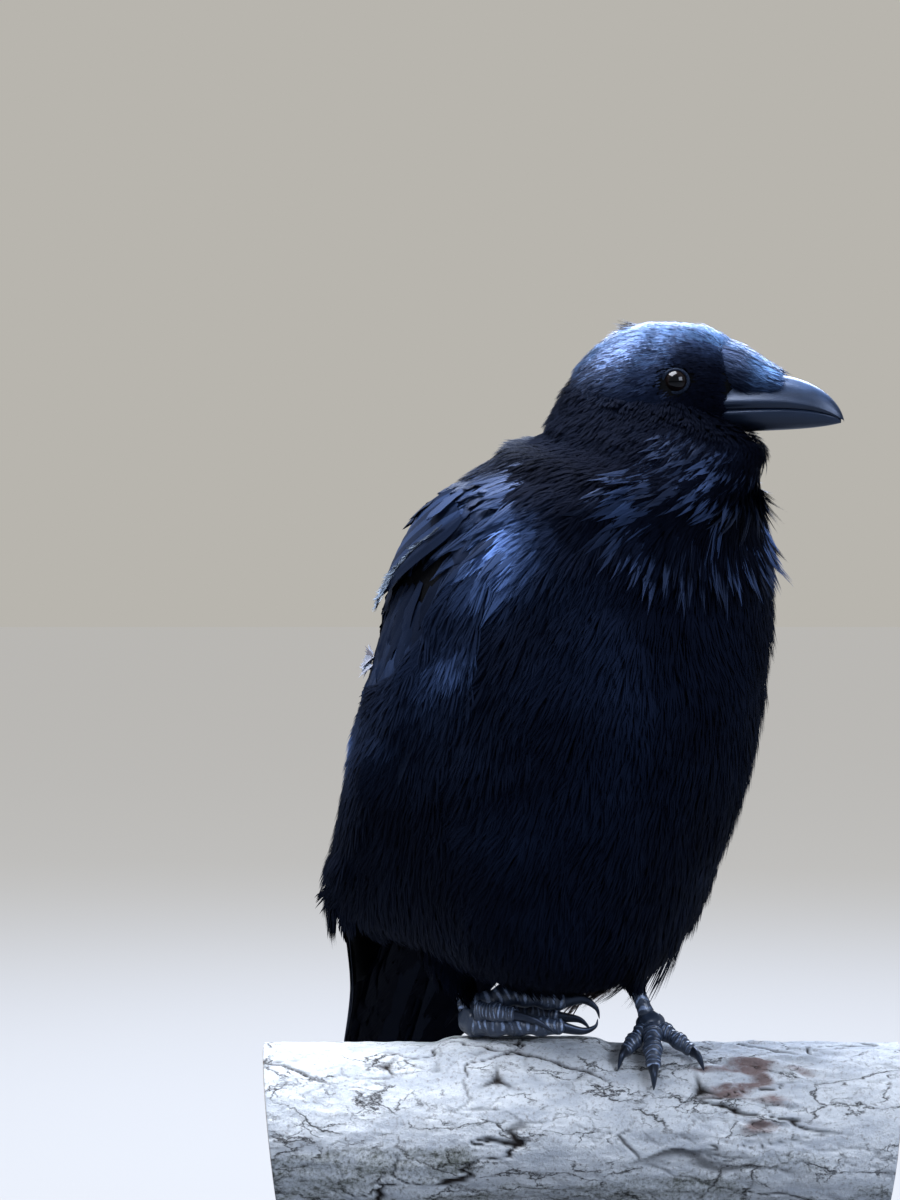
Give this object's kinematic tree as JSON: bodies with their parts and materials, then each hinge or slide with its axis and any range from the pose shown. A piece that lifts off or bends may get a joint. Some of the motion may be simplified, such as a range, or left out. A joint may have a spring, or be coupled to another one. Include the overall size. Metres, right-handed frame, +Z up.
{
  "type": "raven on a limb",
  "caption": "Still, life-size common raven, fluffed and upright, gripping a short cut length of weathered limb with one foot, the other foot closed, on a plain display stand.",
  "frame": {"origin": "centre of the underside of the stand's base plate, on the surface that it stands on", "axes": "+Z up, +X along the limb towards the side that the bill points to, -Y towards the side that the standing foot's toes hang over"},
  "size_m": [0.3416, 0.2668, 0.532],
  "materials": {
    "plumage": "glossy blue-black contour feathers",
    "flight_feathers": "glossy blue-black vanes",
    "bill_horn": "semi-gloss slate-black horn",
    "eye": "wet dark brown eye",
    "foot_scutes": "satin blue-grey scales",
    "weathered_wood": "rough, pale grey, cracked",
    "stand_steel": "satin",
    "stand_board": "matt black"
  },
  "bodies": {
    "root": {"head": "plumage", "neck": "plumage", "trunk": "plumage", "wing_left": "flight_feathers", "wing_right": "flight_feathers", "tail": "flight_feathers", "thigh_left": "plumage", "thigh_right": "plumage", "upper_bill": "bill_horn", "lower_bill": "bill_horn", "eye_left": "eye", "eye_right": "eye", "tarsus_left": "foot_scutes", "tarsus_right": "foot_scutes", "toe_left_1": "foot_scutes", "claw_left_1": "bill_horn", "toe_left_2": "foot_scutes", "claw_left_2": "bill_horn", "toe_left_3": "foot_scutes", "claw_left_3": "bill_horn", "toe_left_4": "foot_scutes", "claw_left_4": "bill_horn", "toe_right_1": "foot_scutes", "claw_right_1": "bill_horn", "toe_right_2": "foot_scutes", "claw_right_2": "bill_horn", "toe_right_3": "foot_scutes", "claw_right_3": "bill_horn", "toe_right_4": "foot_scutes", "claw_right_4": "bill_horn", "perch_limb": "weathered_wood", "stand_rod_left": "stand_steel", "stand_rod_right": "stand_steel", "stand_base": "stand_board"}
  },
  "joints": []
}
